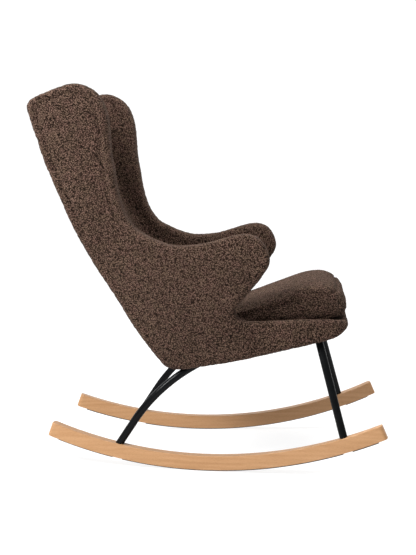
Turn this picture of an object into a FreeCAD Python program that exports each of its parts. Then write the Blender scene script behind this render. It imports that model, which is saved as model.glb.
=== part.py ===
import FreeCAD, Part
import Sketcher
import math
import os

# Rocking chair: a winged, upholstered lounge shell with a loose cushion, on two bent
# tube leg frames and two curved wooden rockers that toe out towards the front.
# Millimetres. +X is the front of the chair, +Z is up, the chair is symmetric about Y=0.
# The origin lies on the floor, under the middle of the chair's length.

V = FreeCAD.Vector
os.makedirs("parts", exist_ok=True)
doc = FreeCAD.newDocument("RockingChair")
sheet = doc.addObject("Spreadsheet::Sheet", "Sheet")
_row = [0]


def cell(alias, value):
    """Write one driving dimension to the sheet and give it its alias."""
    _row[0] += 1
    a = "A%d" % _row[0]
    b = "B%d" % _row[0]
    sheet.set(a, alias)
    sheet.set(b, repr(round(float(value), 4)))
    sheet.setAlias(b, alias)
    return round(float(value), 4)


# ------------------------------------------------------------------ driving dimensions
D = {}
for alias, value in (
    # where the rockers touch the floor, measured from the origin
    ("contact_x", -14.7),
    # rockers
    ("rocker_radius", 1182.6), ("rocker_height", 36.4), ("rocker_width", 30.0),
    ("rocker_half_gap", 266.8), ("rocker_toe_deg", 8.13),
    ("rocker_front_deg", 23.83), ("rocker_rear_deg", 20.15),
    ("rocker_end_round", 9.0), ("rocker_edge_round", 1.5),
    # grip strips under the rockers
    ("strip_thick", 3.0), ("strip_width", 16.0),
    ("strip_r_from", -18.68), ("strip_r_to", -11.33),
    ("strip_m_from", -10.07), ("strip_m_to", 18.08),
    ("strip_f_from", 19.29), ("strip_f_to", 22.60),
    # leg tubes
    ("tube_radius", 10.0), ("tube_bore_radius", 8.0),
    ("rear_bend_radius", 300.0), ("rear_level_radius", 120.0), ("cross_bend_radius", 50.0),
    # fasteners at the rockers
    ("plug_length", 28.0), ("rocker_bolt_radius", 3.0), ("rocker_hole_radius", 3.3),
    ("rocker_bolt_length", 35.0), ("rocker_head_radius", 5.0), ("rocker_head_height", 5.0),
    ("rocker_cbore_radius", 7.0), ("rocker_cbore_depth", 12.0),
    ("rocker_washer_radius", 6.2), ("rocker_washer_thick", 1.6), ("hex_key_radius", 2.8),
    ("hex_key_depth", 3.0),
    # seat plane: height over the floor at the contact point, and its slope
    ("seat_plane_z", 266.4), ("seat_tilt_deg", 12.87),
    ("board_low", 20.0), ("board_thick", 15.0), ("deck_thick", 7.5),
    ("cover_thick", 0.8),
    # mounting plates and their fasteners
    ("plate_len", 52.0), ("plate_wide", 40.0), ("plate_thick", 3.0), ("plate_y", 130.0),
    ("plate_bolt_pitch", 34.0), ("seat_bolt_radius", 3.0), ("seat_hole_radius", 3.3),
    ("seat_bolt_length", 20.0), ("seat_head_radius", 5.4), ("seat_head_height", 3.2),
    ("tee_flange_radius", 8.0), ("tee_flange_thick", 1.5), ("tee_barrel_radius", 4.0),
    ("tee_barrel_length", 10.0),
    # side and wing panels
    ("frame_thick", 18.0), ("outer_pad_thick", 17.5), ("inner_pad_thick", 27.5),
    ("panel_inset", 22.0), ("wing_half_gap", 252.0),
    # back
    ("back_outer_thick", 22.0), ("back_rail_thick", 19.5), ("back_total_thick", 90.0),
    ("strap_width", 50.0), ("strap_thick", 1.5),
    # base
    ("base_half_width", 282.0), ("base_rail_thick", 18.0), ("base_pad_thick", 17.5),
    ("cushion_low", 43.5),
):
    D[alias] = cell(alias, value)
CX = D["contact_x"]

# ------------------------------------------------------------------ helpers


def unit(v):
    v = V(v)
    v.normalize()
    return v


def role(body, name):
    for o in body.Origin.OriginFeatures:
        if o.Role == name:
            return o
    raise RuntimeError(name)


def new_body(label):
    body = doc.addObject("PartDesign::Body", label)
    body.Label = label
    return body


def new_sketch(body, plane, name):
    sk = body.newObject("Sketcher::SketchObject", name)
    sk.AttachmentSupport = [(role(body, plane), "")]
    sk.MapMode = "FlatFace"
    return sk


def poly_sketch(body, plane, name, pts, tag):
    """A closed polygon whose corner positions are cells of the sheet."""
    sk = new_sketch(body, plane, name)
    n = len(pts)
    geo = [Part.LineSegment(V(pts[i][0], pts[i][1], 0),
                            V(pts[(i + 1) % n][0], pts[(i + 1) % n][1], 0)) for i in range(n)]
    sk.addGeometry(geo, False)
    sk.addConstraint([Sketcher.Constraint("Coincident", i, 2, (i + 1) % n, 1) for i in range(n)])
    for i, (a, b) in enumerate(pts):
        for k, (kind, val) in enumerate((("DistanceX", a), ("DistanceY", b))):
            alias = "%s_%s%02d" % (tag, "uv"[k], i)
            v = cell(alias, val)
            c = sk.addConstraint(Sketcher.Constraint(kind, -1, 1, i, 1, v))
            sk.setExpression("Constraints[%d]" % c, "Sheet.%s" % alias)
    return sk


def pad(body, sk, length_expr, both=True):
    p = body.newObject("PartDesign::Pad", body.Name + "Pad")
    p.Profile = sk
    p.Length = 10
    if both:
        if "SideType" in p.PropertiesList:
            p.SideType = "Symmetric"
        else:
            p.Midplane = True
    p.setExpression("Length", length_expr)
    sk.Visibility = False
    body.Tip = p
    return p


def prism(label, plane, pts, length_expr, tag, placement=None, both=True):
    body = new_body(label)
    sk = poly_sketch(body, plane, label + "Outline", pts, tag)
    pad(body, sk, length_expr, both)
    if placement is not None:
        body.Placement = placement
    return body


def cyl(name, radius_expr, height_expr, base, axis):
    """A cylinder from base along axis."""
    c = doc.addObject("Part::Cylinder", name)
    c.setExpression("Radius", radius_expr)
    c.setExpression("Height", height_expr)
    c.Placement = FreeCAD.Placement(V(base), FreeCAD.Rotation(V(0, 0, 1), V(axis)))
    return c


def hexprism(name, radius_expr, height_expr, base, axis):
    c = doc.addObject("Part::Prism", name)
    c.Polygon = 6
    c.setExpression("Circumradius", radius_expr)
    c.setExpression("Height", height_expr)
    c.Placement = FreeCAD.Placement(V(base), FreeCAD.Rotation(V(0, 0, 1), V(axis)))
    return c


def cut(name, base, tool):
    c = doc.addObject("Part::Cut", name)
    c.Base = base
    c.Tool = tool
    return c


def fuse(name, items):
    if len(items) == 1:
        return items[0]
    c = doc.addObject("Part::MultiFuse", name)
    c.Shapes = items
    return c


def common(name, items):
    c = doc.addObject("Part::MultiCommon", name)
    c.Shapes = items
    return c


def group(label, items):
    c = doc.addObject("Part::Compound", label)
    c.Links = items
    c.Label = label
    return c


NODES = []


def node(obj, label=None):
    if label:
        obj.Label = label
    NODES.append(obj)
    return obj


# ------------------------------------------------------------------ seat plane
TILT = math.radians(D["seat_tilt_deg"])
CT, ST = math.cos(TILT), math.sin(TILT)
SEAT_O = V(CX, 0, D["seat_plane_z"])
SEAT_X = V(CT, 0, ST)
SEAT_Z = V(-ST, 0, CT)
SEAT = FreeCAD.Placement(SEAT_O, FreeCAD.Rotation(V(0, 1, 0), -D["seat_tilt_deg"]))


def seat_pt(u, y, w):
    return SEAT_O + SEAT_X * u + V(0, y, 0) + SEAT_Z * w


def seat_pl(dy=0.0, w=0.0):
    return FreeCAD.Placement(SEAT_O + V(0, dy, 0) + SEAT_Z * w, SEAT.Rotation)


def uw(x, z):
    """Seat-plane coordinates of a point given by x from the contact point and height."""
    dz = z - D["seat_plane_z"]
    return (x * CT + dz * ST, -x * ST + dz * CT)


# ------------------------------------------------------------------ rockers
R_OUT = D["rocker_radius"] + D["strip_thick"]       # radius at the running surface
TOE = math.radians(D["rocker_toe_deg"])


def rocker_placement(side):
    """side -1 is the sitter's right, +1 the sitter's left."""
    return FreeCAD.Placement(V(CX, side * D["rocker_half_gap"], 0),
                             FreeCAD.Rotation(V(0, 0, 1), side * D["rocker_toe_deg"]))


def arc_sketch(body, name, r_out_expr, r_in_expr, a0, a1, a0_expr, a1_expr, r_out, r_in):
    """Sector of a ring hung from a centre straight above the contact point."""
    sk = new_sketch(body, "XZ_Plane", name)
    c = V(0, R_OUT, 0)

    def p(r, a):
        return V(r * math.sin(a), R_OUT - r * math.cos(a), 0)
    base = -math.pi / 2
    outer = Part.ArcOfCircle(Part.Circle(c, V(0, 0, 1), r_out), base + a0, base + a1)
    inner = Part.ArcOfCircle(Part.Circle(c, V(0, 0, 1), r_in), base + a0, base + a1)
    e1 = Part.LineSegment(p(r_out, a1), p(r_in, a1))
    e0 = Part.LineSegment(p(r_in, a0), p(r_out, a0))
    centre = Part.Point(c)
    sk.addGeometry([outer, e1, inner, e0], False)
    k = sk.addGeometry(centre, True)
    sk.addConstraint([
        Sketcher.Constraint("Coincident", 0, 2, 1, 1),
        Sketcher.Constraint("Coincident", 1, 2, 2, 2),
        Sketcher.Constraint("Coincident", 2, 1, 3, 1),
        Sketcher.Constraint("Coincident", 3, 2, 0, 1),
        Sketcher.Constraint("Coincident", 0, 3, k, 1),
        Sketcher.Constraint("Coincident", 2, 3, k, 1),
        Sketcher.Constraint("PointOnObject", k, 1, -2)])
    j = sk.addConstraint(Sketcher.Constraint("DistanceY", -1, 1, k, 1, R_OUT))
    sk.setExpression("Constraints[%d]" % j, "Sheet.rocker_radius + Sheet.strip_thick")
    j = sk.addConstraint(Sketcher.Constraint("Radius", 0, r_out))
    sk.setExpression("Constraints[%d]" % j, r_out_expr)
    j = sk.addConstraint(Sketcher.Constraint("Radius", 2, r_in))
    sk.setExpression("Constraints[%d]" % j, r_in_expr)
    # the two ends lie on radial lines; their x positions follow from the end angles
    j = sk.addConstraint(Sketcher.Constraint("DistanceX", -1, 1, 0, 2, r_out * math.sin(a1)))
    sk.setExpression("Constraints[%d]" % j, "(%s) * sin(%s * 1 deg)" % (r_out_expr, a1_expr))
    j = sk.addConstraint(Sketcher.Constraint("DistanceX", -1, 1, 0, 1, r_out * math.sin(a0)))
    sk.setExpression("Constraints[%d]" % j, "(%s) * sin(%s * 1 deg)" % (r_out_expr, a0_expr))
    j = sk.addConstraint(Sketcher.Constraint("DistanceX", -1, 1, 2, 2, r_in * math.sin(a1)))
    sk.setExpression("Constraints[%d]" % j, "(%s) * sin(%s * 1 deg)" % (r_in_expr, a1_expr))
    j = sk.addConstraint(Sketcher.Constraint("DistanceX", -1, 1, 2, 1, r_in * math.sin(a0)))
    sk.setExpression("Constraints[%d]" % j, "(%s) * sin(%s * 1 deg)" % (r_in_expr, a0_expr))
    return sk


def mirror(p, side):
    return V(p.x, side * p.y, p.z)


# leg paths on the side y > 0, from the rocker up and in to the middle of the chair
R_TOP = D["rocker_radius"] - D["rocker_height"]
FRONT_DIR = unit(V(-61.0, -79.0, 228.0))            # up the front leg
REAR_DIR = unit(V(71.6, 25.7, 145.3))               # up the first run of the rear leg
FRONT_FOOT = V(CX + 364.0, 319.0, 99.0)
REAR_FOOT = V(CX - 212.6, 235.8, 60.2)


def on_rocker_top(foot, direction):
    """Slide a foot along its leg until it meets the top of the rocker, at mid width."""
    d = V(math.cos(TOE), math.sin(TOE), 0)
    p = V(foot)
    for _ in range(40):
        s = (p - V(CX, D["rocker_half_gap"], 0)).dot(d)
        r = math.hypot(s, R_OUT - p.z)
        p = p + direction * ((r - R_TOP) / max(0.2, direction.z))
    return p


def centre_on_rocker(foot, direction):
    """Move a foot sideways so that it stands on the rocker's middle line."""
    d = V(math.cos(TOE), math.sin(TOE), 0)
    n = V(-math.sin(TOE), math.cos(TOE), 0)
    o = V(CX, D["rocker_half_gap"], 0)
    f = on_rocker_top(foot, direction)
    return f - n * (f - o).dot(n)


FRONT_FOOT = centre_on_rocker(FRONT_FOOT, FRONT_DIR)
REAR_FOOT = centre_on_rocker(REAR_FOOT, REAR_DIR)
TUBE_W = D["board_low"] - D["plate_thick"] - D["tube_radius"]     # cross tube, under the plates


def rocker_normal(foot):
    """Unit normal of the rocker's top face at a foot (points up, to the arc's centre)."""
    d = V(math.cos(TOE), math.sin(TOE), 0)
    s = (foot - V(CX, D["rocker_half_gap"], 0)).dot(d)
    return unit(d * (-s) + V(0, 0, R_OUT - foot.z))


front_corner = seat_pt(308.0, 234.5, TUBE_W)
FRONT_DIR = unit(front_corner - FRONT_FOOT)
rear_knee = V(CX - 113.0, 260.0, 211.0)
REAR_DIR = unit(rear_knee - REAR_FOOT)
rear_level = seat_pt(3.0, 213.0, TUBE_W)
rear_corner = seat_pt(78.0, 207.0, TUBE_W)


def rounded_wire(points, radii):
    """Straight runs joined by tangent arcs."""
    edges = []
    start = V(points[0])
    for i in range(1, len(points) - 1):
        a, b, c = points[i - 1], points[i], points[i + 1]
        d1, d2 = unit(b - a), unit(c - b)
        turn = math.acos(max(-1, min(1, d1.dot(d2))))
        t = radii[i - 1] * math.tan(turn / 2)
        p1, p2 = b - d1 * t, b + d2 * t
        bis = unit(d2 - d1)
        mid = b + bis * (radii[i - 1] / math.cos(turn / 2) - radii[i - 1])
        edges.append(Part.LineSegment(start, p1).toShape())
        edges.append(Part.Arc(p1, mid, p2).toShape())
        start = p2
    edges.append(Part.LineSegment(start, points[-1]).toShape())
    return Part.Wire(edges)


def leg_frame(label, half, radii):
    """half: points from the right foot (y<0) to the middle; the other half is its mirror."""
    pts = [mirror(p, -1) for p in half] + [V(p) for p in reversed(half)]
    # the tube starts under the rocker's top face and is trimmed to it afterwards
    over = 14.0
    pts[0] = pts[0] - unit(pts[1] - pts[0]) * over
    pts[-1] = pts[-1] - unit(pts[-2] - pts[-1]) * over
    wire = rounded_wire(pts, radii + list(reversed(radii)))
    path = doc.addObject("Part::Feature", label + "Path")
    path.Shape = wire
    tubes = []
    for k, alias in (("Outer", "tube_radius"), ("Bore", "tube_bore_radius")):
        ring = doc.addObject("Part::Circle", label + k + "Ring")
        ring.setExpression("Radius", "Sheet." + alias)
        ring.Placement = FreeCAD.Placement(pts[0], FreeCAD.Rotation(V(0, 0, 1), pts[1] - pts[0]))
        sw = doc.addObject("Part::Sweep", label + k)
        sw.Sections = [ring]
        sw.Spine = (path, ["Edge%d" % (i + 1) for i in range(len(wire.Edges))])
        sw.Solid = True
        sw.Frenet = False
        sw.Transition = "Right corner"
        tubes.append(sw)
    tube = cut(label + "Tube", tubes[0], tubes[1])
    trims = []
    for side, foot in ((-1, half[0]), (1, half[0])):
        f = mirror(foot, side)
        n = mirror(rocker_normal(foot), side)
        b = doc.addObject("Part::Box", label + "Trim%d" % (side + 1))
        b.Length = b.Width = 80
        b.Height = 40
        rot = FreeCAD.Rotation(V(0, 0, 1), n)
        b.Placement = FreeCAD.Placement(f + n * 0.05 + rot.multVec(V(-40, -40, -40)), rot)
        trims.append(b)
    return cut(label, tube, fuse(label + "Trims", trims)), trims, wire


FEET = (("front", FRONT_FOOT, FRONT_DIR), ("rear", REAR_FOOT, REAR_DIR))
frames = {}
for key, half, radii in (
        ("front", [FRONT_FOOT, front_corner], [D["cross_bend_radius"]]),
        ("rear", [REAR_FOOT, rear_knee, rear_level, rear_corner],
         [D["rear_bend_radius"], D["rear_level_radius"], D["cross_bend_radius"]])):
    obj, trims, wire = leg_frame(key + "_leg_frame", half, radii)
    frames[key] = (obj, trims, wire)
    node(obj, key + "_leg_frame")

for side, name in ((-1, "right"), (1, "left")):
    body = new_body("RockerBlank_" + name)
    sk = arc_sketch(body, "RockerSection_" + name, "Sheet.rocker_radius",
                    "Sheet.rocker_radius - Sheet.rocker_height",
                    -math.radians(D["rocker_rear_deg"]), math.radians(D["rocker_front_deg"]),
                    "-Sheet.rocker_rear_deg", "Sheet.rocker_front_deg",
                    D["rocker_radius"], R_TOP)
    p = pad(body, sk, "Sheet.rocker_width")
    doc.recompute()
    ends, longs = [], []
    for i, e in enumerate(p.Shape.Edges):
        vs = [v.Point for v in e.Vertexes]
        if e.Curve.TypeId == "Part::GeomCircle":
            longs.append("Edge%d" % (i + 1))
        elif abs(vs[0].y - vs[1].y) < 1e-6:
            ends.append("Edge%d" % (i + 1))
    f = body.newObject("PartDesign::Fillet", body.Name + "Ends")
    f.Base = (p, ends)
    f.Radius = 9
    f.setExpression("Radius", "Sheet.rocker_end_round")
    body.Tip = f
    doc.recompute()
    longs = ["Edge%d" % (i + 1) for i, e in enumerate(f.Shape.Edges)
             if e.Curve.TypeId == "Part::GeomCircle" and e.Length > 200]
    g = body.newObject("PartDesign::Fillet", body.Name + "Arris")
    g.Base = (f, longs)
    g.Radius = 1.8
    g.setExpression("Radius", "Sheet.rocker_edge_round")
    body.Tip = g
    body.Placement = rocker_placement(side)
    # bolt holes square to the rocker, counterbored from below
    tools = []
    for key, foot, direction in FEET:
        ft = mirror(foot, side)
        nn = mirror(rocker_normal(foot), side)
        tools.append(cyl("Hole_%s_%s" % (key, name), "Sheet.rocker_hole_radius",
                         "Sheet.rocker_height + 20", ft + nn * 8.0, nn * -1))
        tools.append(cyl("Cbore_%s_%s" % (key, name), "Sheet.rocker_cbore_radius",
                         "Sheet.rocker_cbore_depth + 12",
                         ft - nn * (D["rocker_height"] - D["rocker_cbore_depth"]), nn * -1))
    rk = cut("rocker_" + name, body, fuse("RockerHoles_" + name, tools))
    node(rk, "rocker_" + name)
    for seg, s0, s1 in (("rear", "strip_r_from", "strip_r_to"),
                        ("middle", "strip_m_from", "strip_m_to"),
                        ("front", "strip_f_from", "strip_f_to")):
        b = new_body("grip_strip_%s_%s" % (seg, name))
        sk = arc_sketch(b, b.Name + "Section", "Sheet.rocker_radius + Sheet.strip_thick",
                        "Sheet.rocker_radius", math.radians(D[s0]), math.radians(D[s1]),
                        "Sheet." + s0, "Sheet." + s1, R_OUT, D["rocker_radius"])
        pad(b, sk, "Sheet.strip_width")
        b.Placement = rocker_placement(side)
        node(b)

# threaded plugs in the four leg ends, with the bolts and washers that hold the rockers
plugs, bolts, washers = [], [], []
for key, foot, direction in FEET:
    for side in (-1, 1):
        tag = "%s%d" % (key, side + 1)
        ft, dr = mirror(foot, side), mirror(direction, side)
        nn = mirror(rocker_normal(foot), side)
        seat_of_washer = ft - nn * (D["rocker_height"] - D["rocker_cbore_depth"])
        a = cyl("Plug" + tag, "Sheet.tube_bore_radius", "Sheet.plug_length + 14", ft - dr * 14, dr)
        b = cyl("PlugHole" + tag, "Sheet.rocker_bolt_radius", "Sheet.plug_length + 4",
                ft - nn * 16, nn)
        c = cut("PlugBored" + tag, a, b)
        trim = frames[key][1][0 if side < 0 else 1]
        plugs.append(cut("PlugTrim" + tag, c, trim))
        w = cyl("Washer" + tag, "Sheet.rocker_washer_radius", "Sheet.rocker_washer_thick",
                seat_of_washer, nn * -1)
        wh = cyl("WasherHole" + tag, "Sheet.rocker_bolt_radius + 0.2",
                 "Sheet.rocker_washer_thick + 4", seat_of_washer + nn * 2, nn * -1)
        washers.append(cut("WasherBored" + tag, w, wh))
        under = seat_of_washer - nn * D["rocker_washer_thick"]
        sh = cyl("Shank" + tag, "Sheet.rocker_bolt_radius", "Sheet.rocker_bolt_length", under, nn)
        hd = cyl("Head" + tag, "Sheet.rocker_head_radius", "Sheet.rocker_head_height",
                 under, nn * -1)
        hx = hexprism("Key" + tag, "Sheet.hex_key_radius", "Sheet.hex_key_depth + 2",
                      under - nn * (D["rocker_head_height"] - D["hex_key_depth"]), nn * -1)
        bolts.append(cut("Bolt" + tag, fuse("BoltBlank" + tag, [sh, hd]), hx))
node(group("leg_thread_plugs", plugs))
node(group("rocker_bolts", bolts))
node(group("rocker_washers", washers))

# ------------------------------------------------------------------ plates under the seat board
PLATE_SPOTS = []
for key, u in (("front", 308.0), ("rear", 78.0)):
    plates = []
    for side in (-1, 1):
        tag = "%sPlate%d" % (key, side + 1)
        b = doc.addObject("Part::Box", tag)
        b.setExpression("Length", "Sheet.plate_len")
        b.setExpression("Width", "Sheet.plate_wide")
        b.setExpression("Height", "Sheet.plate_thick")
        y = side * D["plate_y"]
        b.Placement = FreeCAD.Placement(
            seat_pt(u - D["plate_len"] / 2, y - D["plate_wide"] / 2,
                    D["board_low"] - D["plate_thick"]), SEAT.Rotation)
        holes = []
        for k in (-1, 1):
            spot = (u + k * D["plate_bolt_pitch"] / 2, y)
            PLATE_SPOTS.append(spot)
            holes.append(cyl("%sHole%d" % (tag, k + 1), "Sheet.seat_hole_radius",
                             "Sheet.plate_thick + 4",
                             seat_pt(spot[0], y, D["board_low"] - D["plate_thick"] - 2), SEAT_Z))
        plates.append(cut(tag + "Drilled", b, fuse(tag + "Holes", holes)))
    node(group(key + "_mount_plates", plates))

# seat board, in the seat plane
BOARD = [(-45, 0), (-45, -206), (110, -240), (116, -244), (336, -244),
         (336, 244), (116, 244), (110, 240), (-45, 206)]
board = prism("SeatBoardBlank", "XY_Plane", BOARD, "Sheet.board_thick", "board",
              seat_pl(0, D["board_low"]), both=False)
cuts, tnuts, sbolts = [], [], []
for i, (u, y) in enumerate(PLATE_SPOTS):
    top = D["board_low"] + D["board_thick"]
    cuts.append(cyl("BoardHole%d" % i, "Sheet.tee_barrel_radius + 0.05", "Sheet.board_thick + 8",
                    seat_pt(u, y, D["board_low"] - 4), SEAT_Z))
    cuts.append(cyl("BoardRecess%d" % i, "Sheet.tee_flange_radius + 0.3",
                    "Sheet.tee_flange_thick + 4", seat_pt(u, y, top - D["tee_flange_thick"] - 0.1),
                    SEAT_Z))
    fl = cyl("TeeFlange%d" % i, "Sheet.tee_flange_radius", "Sheet.tee_flange_thick",
             seat_pt(u, y, top - D["tee_flange_thick"] - 0.1), SEAT_Z)
    br = cyl("TeeBarrel%d" % i, "Sheet.tee_barrel_radius", "Sheet.tee_barrel_length",
             seat_pt(u, y, top - D["tee_flange_thick"] - 0.1), SEAT_Z * -1)
    bo = cyl("TeeBore%d" % i, "Sheet.seat_bolt_radius", "Sheet.board_thick + 20",
             seat_pt(u, y, D["board_low"] - 10), SEAT_Z)
    tnuts.append(cut("TeeNut%d" % i, fuse("TeeBlank%d" % i, [fl, br]), bo))
    w0 = D["board_low"] - D["plate_thick"]
    sh = cyl("SeatShank%d" % i, "Sheet.seat_bolt_radius", "Sheet.seat_bolt_length - 3",
             seat_pt(u, y, w0), SEAT_Z)
    hd = cyl("SeatHead%d" % i, "Sheet.seat_head_radius", "Sheet.seat_head_height",
             seat_pt(u, y, w0), SEAT_Z * -1)
    hx = hexprism("SeatKey%d" % i, "Sheet.hex_key_radius - 0.3", "Sheet.hex_key_depth",
                  seat_pt(u, y, w0 - D["seat_head_height"] + 2), SEAT_Z * -1)
    sbolts.append(cut("SeatBolt%d" % i, fuse("SeatBoltBlank%d" % i, [sh, hd]), hx))
node(cut("seat_board", board, fuse("BoardCuts", cuts)), "seat_board")
node(group("seat_bolts", sbolts))
node(group("tee_nuts", tnuts))

DECK = [(-40, -203), (110, -236), (128, -243), (334, -243), (350, -236),
        (350, 236), (334, 243), (128, 243), (110, 236), (-40, 203)]
node(prism("deck_pad", "XY_Plane", DECK, "Sheet.deck_thick", "deck",
           seat_pl(0, D["board_low"] + D["board_thick"] + 0.5), both=False))

COVER = [(-38, -200), (108, -232), (120, -238), (330, -238),
         (330, 238), (120, 238), (108, 232), (-38, 200)]
cover = prism("CoverBlank", "XY_Plane", COVER, "Sheet.cover_thick", "cover",
              seat_pl(0, D["board_low"] - D["cover_thick"] - 0.2), both=False)
windows = []
for i, (u, y) in enumerate(((308.0, -1), (308.0, 1), (78.0, -1), (78.0, 1))):
    b = doc.addObject("Part::Box", "CoverWindow%d" % i)
    b.setExpression("Length", "Sheet.plate_len + 4")
    b.setExpression("Width", "Sheet.plate_wide + 4")
    b.Height = 12
    b.Placement = FreeCAD.Placement(
        seat_pt(u - D["plate_len"] / 2 - 2, y * D["plate_y"] - D["plate_wide"] / 2 - 2,
                D["board_low"] - 8), SEAT.Rotation)
    windows.append(b)
node(cut("dust_cover", cover, fuse("CoverWindows", windows)), "dust_cover")

# ------------------------------------------------------------------ outlines, x from the contact point
BACK_LINE = [(-95, 263), (-107, 276), (-146, 327), (-182, 379), (-213, 431), (-246, 482),
             (-277, 534), (-306, 586), (-332, 637), (-355, 689), (-377, 740), (-398, 791),
             (-416, 842), (-430, 880), (-440, 908), (-444, 924)]
TOP_LINE = [(-436, 937), (-394, 960), (-374, 970), (-353, 977), (-332, 983), (-312, 984),
            (-291, 978), (-271, 966), (-254, 948)]
WING_FRONT = [(-243, 925), (-236, 900), (-232, 870), (-230, 840), (-227, 805), (-220, 766),
              (-212, 727), (-201, 687), (-184, 648), (-157, 615)]
ARM_LINE = [(-149, 609), (-110, 590), (-71, 578), (-36, 577), (7, 582), (50, 593), (93, 605),
            (123, 608), (150, 599), (168, 577), (177, 545), (173, 528), (164, 514), (150, 493),
            (130, 468), (112, 446), (98, 430), (94, 413), (103, 394), (110, 386)]


def walk(line, s0, s1, n):
    """n points along a line from arc length s0 to s1."""
    acc = [0.0]
    for a, b in zip(line[:-1], line[1:]):
        acc.append(acc[-1] + math.hypot(b[0] - a[0], b[1] - a[1]))
    out = []
    for k in range(n):
        s = s0 + (s1 - s0) * k / (n - 1.0)
        i = max(j for j in range(len(acc) - 1) if acc[j] <= s + 1e-9)
        t = (s - acc[i]) / (acc[i + 1] - acc[i])
        out.append((line[i][0] + t * (line[i + 1][0] - line[i][0]),
                    line[i][1] + t * (line[i + 1][1] - line[i][1])))
    return out


def line_length(line):
    return sum(math.hypot(b[0] - a[0], b[1] - a[1]) for a, b in zip(line[:-1], line[1:]))


BACK_LEN = line_length(BACK_LINE)
STATIONS = 15


def back_point(s, o):
    """Point of the back at arc length s and depth o; straight between fixed stations."""
    step = BACK_LEN / STATIONS
    i = min(STATIONS - 1, max(0, int(s / step)))
    t = s / step - i
    p, q = [], []
    for j, dst in ((i, p), (i + 1, q)):
        a = walk(BACK_LINE, max(0.0, j * step - 12), min(BACK_LEN - 1e-6, j * step + 12), 2)
        c = walk(BACK_LINE, min(j * step, BACK_LEN - 1e-6), BACK_LEN - 1e-6, 2)[0]
        dx, dz = a[1][0] - a[0][0], a[1][1] - a[0][1]
        ln = math.hypot(dx, dz)
        dst.extend((c[0] + dz / ln * o, c[1] - dx / ln * o))
    return (p[0] + t * (q[0] - p[0]), p[1] + t * (q[1] - p[1]))


def band(o0, o1, s0, s1):
    """Closed strip that follows the back line between two depths."""
    step = BACK_LEN / STATIONS
    ss = [s0] + [k * step for k in range(STATIONS + 1) if s0 + 3 < k * step < s1 - 3] + [s1]
    lo = [back_point(s, o0) for s in ss]
    hi = [back_point(s, o1) for s in ss]
    return lo + list(reversed(hi))


def inset(poly, d):
    """Move every side of a closed outline inwards by d (clockwise or not)."""
    n = len(poly)
    area = sum(poly[i][0] * poly[(i + 1) % n][1] - poly[(i + 1) % n][0] * poly[i][1]
               for i in range(n))
    s = 1.0 if area > 0 else -1.0
    out = []
    for i in range(n):
        p, q, r = poly[i - 1], poly[i], poly[(i + 1) % n]
        d1 = (q[0] - p[0], q[1] - p[1])
        d2 = (r[0] - q[0], r[1] - q[1])
        l1, l2 = math.hypot(*d1), math.hypot(*d2)
        n1 = (-d1[1] / l1 * s, d1[0] / l1 * s)
        n2 = (-d2[1] / l2 * s, d2[0] / l2 * s)
        bx, bz = n1[0] + n2[0], n1[1] + n2[1]
        k = 2.0 / (bx * bx + bz * bz)
        out.append((q[0] + bx * k * d, q[1] + bz * k * d))
    return out


def thin(poly, gap):
    """Drop corners that lie closer than gap to the one before."""
    out = [poly[0]]
    for p in poly[1:]:
        if math.hypot(p[0] - out[-1][0], p[1] - out[-1][1]) >= gap:
            out.append(p)
    if math.hypot(out[0][0] - out[-1][0], out[0][1] - out[-1][1]) < gap:
        out.pop()
    return out


def zb(x):
    return D["seat_plane_z"] + x * math.tan(TILT)


def over_seat(x, w):
    """Height at x of a line w above the seat plane."""
    return zb(x) + w / CT


i534 = 6                                              # the wing starts at this back point
LOWER = (BACK_LINE[1:i534 + 1] + ARM_LINE + [(110, zb(110) + 1), (-30, zb(-30) + 1)])
UPPER = [(-279, 537.5)] + BACK_LINE[i534 + 1:] + TOP_LINE + WING_FRONT[:-1] + [(-158, 618.5)]
TT = D["back_total_thick"]
INNER_FACE = [back_point(k * BACK_LEN / STATIONS, TT + 1.5) for k in range(STATIONS + 1)]


def inner_at(z):
    for a, b in zip(INNER_FACE[:-1], INNER_FACE[1:]):
        if a[1] <= z <= b[1]:
            t = (z - a[1]) / (b[1] - a[1])
            return a[0] + t * (b[0] - a[0])
    raise RuntimeError("no inner face at %.1f" % z)


# ---------------- side (arm) panels: one plane each, toed out and leaning out
PA, PB, PC = 0.196, 0.183, 187.4


def side_frame_of(side):
    ex = unit(V(1, side * PA, 0))
    nrm = unit(V(-side * PA, 1, -side * PB))          # points to +Y on both sides
    ez = ex.cross(nrm)
    o = V(CX, side * PC, 0)
    rot = FreeCAD.Rotation(ex, nrm, ez, "ZXY")
    return o, ex, nrm, ez, rot


def to_panel(pts):
    """Side outline (x, height) to the panel's own plane coordinates."""
    o, ex, nrm, ez, rot = side_frame_of(1)
    out = []
    for x, z in pts:
        p = V(CX + x, PC + PA * x + PB * z, z) - o
        out.append((p.dot(ex), p.dot(ez)))
    return out


def side_layer(label, side, pts, lo, hi, expr, tag):
    """A layer of the panel from lo to hi outwards of its middle plane."""
    o, ex, nrm, ez, rot = side_frame_of(side)
    mid = (lo + hi) / 2.0 * side
    pl = FreeCAD.Placement(o + nrm * mid, rot)
    return node(prism(label, "XZ_Plane", to_panel(pts), expr, tag, pl))


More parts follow.
